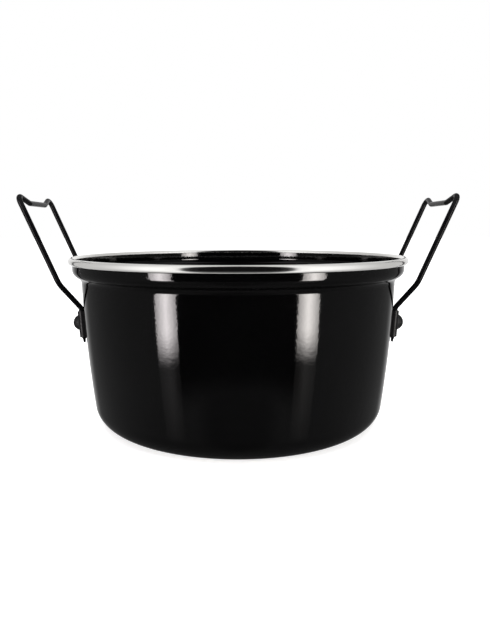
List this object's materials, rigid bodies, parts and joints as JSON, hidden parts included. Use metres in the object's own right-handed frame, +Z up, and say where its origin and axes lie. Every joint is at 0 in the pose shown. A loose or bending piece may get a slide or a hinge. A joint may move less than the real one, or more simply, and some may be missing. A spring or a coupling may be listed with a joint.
{
  "type": "deep fryer pot",
  "caption": "Deep round enamelled steel pot with a stepped collar, a steel band round its lip and wire handles that rise from clamps on both sides.",
  "frame": {"origin": "centre of the base, on the surface that the pot stands on", "axes": "+Z up, +X through the right-hand handle, -Y towards the viewer"},
  "size_m": [0.3218, 0.26, 0.1753],
  "materials": {
    "enamel": "gloss vitreous enamel, black",
    "band_steel": "polished stainless steel",
    "wire_coating": "semi-gloss black coating",
    "plate_coating": "semi-gloss black coating",
    "rivet_coating": "satin black coating"
  },
  "bodies": {
    "root": {"pot_shell": "enamel", "rim_band": "band_steel", "handle_left": "wire_coating", "handle_right": "wire_coating", "clamp_plate_left": "plate_coating", "clamp_plate_right": "plate_coating", "weld_boss_left": "enamel", "weld_boss_right": "enamel", "dome_rivet_left": "rivet_coating", "dome_rivet_right": "rivet_coating"}
  },
  "joints": []
}
